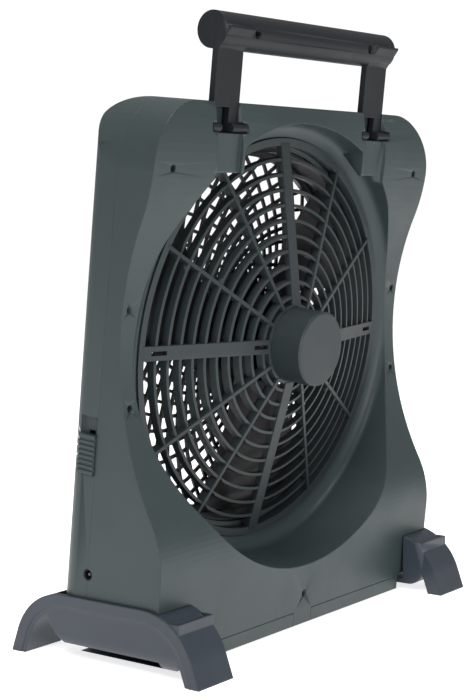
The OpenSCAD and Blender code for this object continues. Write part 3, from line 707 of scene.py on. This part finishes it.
@dataclass
class Feet(SubAssembly):
    """The two tilting feet."""

    def build(self, finishes: Finishes) -> list[bpy.types.Object]:
        """Builds the smooth-shaded feet.

        Args:
            finishes: The fan's finishes.

        Returns:
            The new pieces.
        """
        return [
            soft_copy(f"foot_{side}", f"foot_moulding_{side}", f"foot_{side}",
                      finishes.trim)
            for side in ("left", "right")
        ]

    def dress(self, finishes: Finishes) -> None:
        """Gives the screws their finish."""
        for side in ("left", "right"):
            dress(f"foot_screw_{side}", finishes.zinc_dark)


# ---------- studio ----------


@dataclass(frozen=True)
class SoftLight:
    """A soft square light.

    Attributes:
        name: Name of the light.
        place: Where it stands.
        aim: The point it faces.
        size: Side of the square in metres.
        power: Power in watts.
    """

    name: str
    place: tuple[float, float, float]
    aim: tuple[float, float, float]
    size: float
    power: float


@dataclass
class Studio:
    """Camera, pale floor and soft lights.

    Attributes:
        eye: Place of the camera.
        heading: Direction of view about Z from +X, in degrees.
        pitch: Downward tilt of the view, in degrees.
        roll: Turn of the picture, in degrees.
        lens: Focal length for the sensor height, in millimetres.
        sensor: Height of the sensor, in millimetres.
        sky_light: Strength of the light from the white backdrop.
        floor_glow: Light that the floor itself gives.
        backdrop: Brightness of the backdrop as it is seen.
        floor_size: Half of the floor's side in metres.
        lamps: The soft lights.
    """

    eye: tuple[float, float, float] = (0.8596, 0.6280, 0.2784)
    heading: float = 216.74
    pitch: float = 5.28
    roll: float = -0.15
    lens: float = 55.23
    sensor: float = 24.0
    sky_light: float = 0.36
    floor_glow: float = 0.72
    backdrop: float = 1.05
    floor_size: float = 9.0
    lamps: tuple[SoftLight, ...] = (
        SoftLight("key", (1.6, 0.5, 1.5), (0.0, 0.0, 0.2), 0.8, 20.0),
        SoftLight("rear_fill", (0.7, 1.9, 0.4), (0.0, 0.0, 0.15), 1.0, 15.0),
        SoftLight("top", (0.1, 0.2, 2.0), (0.0, 0.0, 0.2), 0.8, 26.0),
    )

    def camera(self) -> None:
        """Creates the camera."""
        data = bpy.data.cameras.new("camera")
        data.sensor_fit = "VERTICAL"
        data.sensor_height = self.sensor
        data.lens = self.lens
        data.clip_start = 0.02
        camera = bpy.data.objects.new("camera", data)
        camera.location = self.eye
        a, b = math.radians(self.heading), math.radians(self.pitch)
        look = Vector((math.cos(a) * math.cos(b), math.sin(a) * math.cos(b), -math.sin(b)))
        camera.rotation_mode = "QUATERNION"
        turn = look.to_track_quat("-Z", "Y")
        camera.rotation_quaternion = turn @ Quaternion((0, 0, 1), math.radians(self.roll))
        bpy.context.scene.collection.objects.link(camera)
        bpy.context.scene.camera = camera

    def floor(self) -> None:
        """Creates the pale floor."""
        bm = bmesh.new()
        bmesh.ops.create_grid(bm, x_segments=1, y_segments=1, size=self.floor_size)
        s = Shader("pale_floor")
        s.link(s.ramp(s.noise(3.0), (0.90, 0.90, 0.90), (0.93, 0.93, 0.93)), "Base Color")
        s.set("Roughness", 0.9)
        s.set("Specular IOR Level", 0.1)
        s.set("Emission Color", (1.0, 1.0, 1.0, 1.0))
        s.set("Emission Strength", self.floor_glow)
        floor = link_piece("floor", bm, s.material)

    def light(self, lamp: SoftLight) -> None:
        """Creates one soft square light.

        Args:
            lamp: The light.
        """
        data = bpy.data.lights.new(lamp.name, "AREA")
        data.size = lamp.size
        data.energy = lamp.power
        made = bpy.data.objects.new(lamp.name, data)
        made.location = lamp.place
        made.rotation_mode = "QUATERNION"
        aim = Vector(lamp.aim) - Vector(lamp.place)
        made.rotation_quaternion = aim.to_track_quat("-Z", "Y")
        bpy.context.scene.collection.objects.link(made)

    def world(self) -> None:
        """Sets a plain white backdrop that lights the fan more softly than it looks."""
        world = bpy.data.worlds.new("backdrop")
        world.use_nodes = True
        tree = world.node_tree
        sky = tree.nodes["Background"]
        sky.inputs["Color"].default_value = (1.0, 1.0, 1.0, 1.0)
        path = tree.nodes.new("ShaderNodeLightPath")
        strength = tree.nodes.new("ShaderNodeMapRange")
        strength.inputs["To Min"].default_value = self.sky_light
        strength.inputs["To Max"].default_value = self.backdrop
        tree.links.new(path.outputs["Is Camera Ray"], strength.inputs["Value"])
        tree.links.new(strength.outputs["Result"], sky.inputs["Strength"])
        bpy.context.scene.world = world

    def build(self) -> None:
        """Builds the whole studio."""
        self.camera()
        self.floor()
        self.world()
        for lamp in self.lamps:
            self.light(lamp)
        bpy.context.scene.view_settings.view_transform = "Standard"


def main() -> None:
    """Builds the fan's looks, sub-assembly by sub-assembly."""
    logging.basicConfig(level=logging.INFO)
    Studio().build()
    finishes = Finishes.make()
    assemblies = (Housing(), Grilles(), Motor(), Rotor(), BatteryBase(), Controls(), Handle(),
                  Feet())
    for assembly in assemblies:
        for piece in assembly.build(finishes):
            LOG.info("built %s with %d faces", piece.name, len(piece.data.polygons))
        assembly.dress(finishes)
        LOG.info("dressed %s", type(assembly).__name__)


if __name__ == "__main__":
    main()
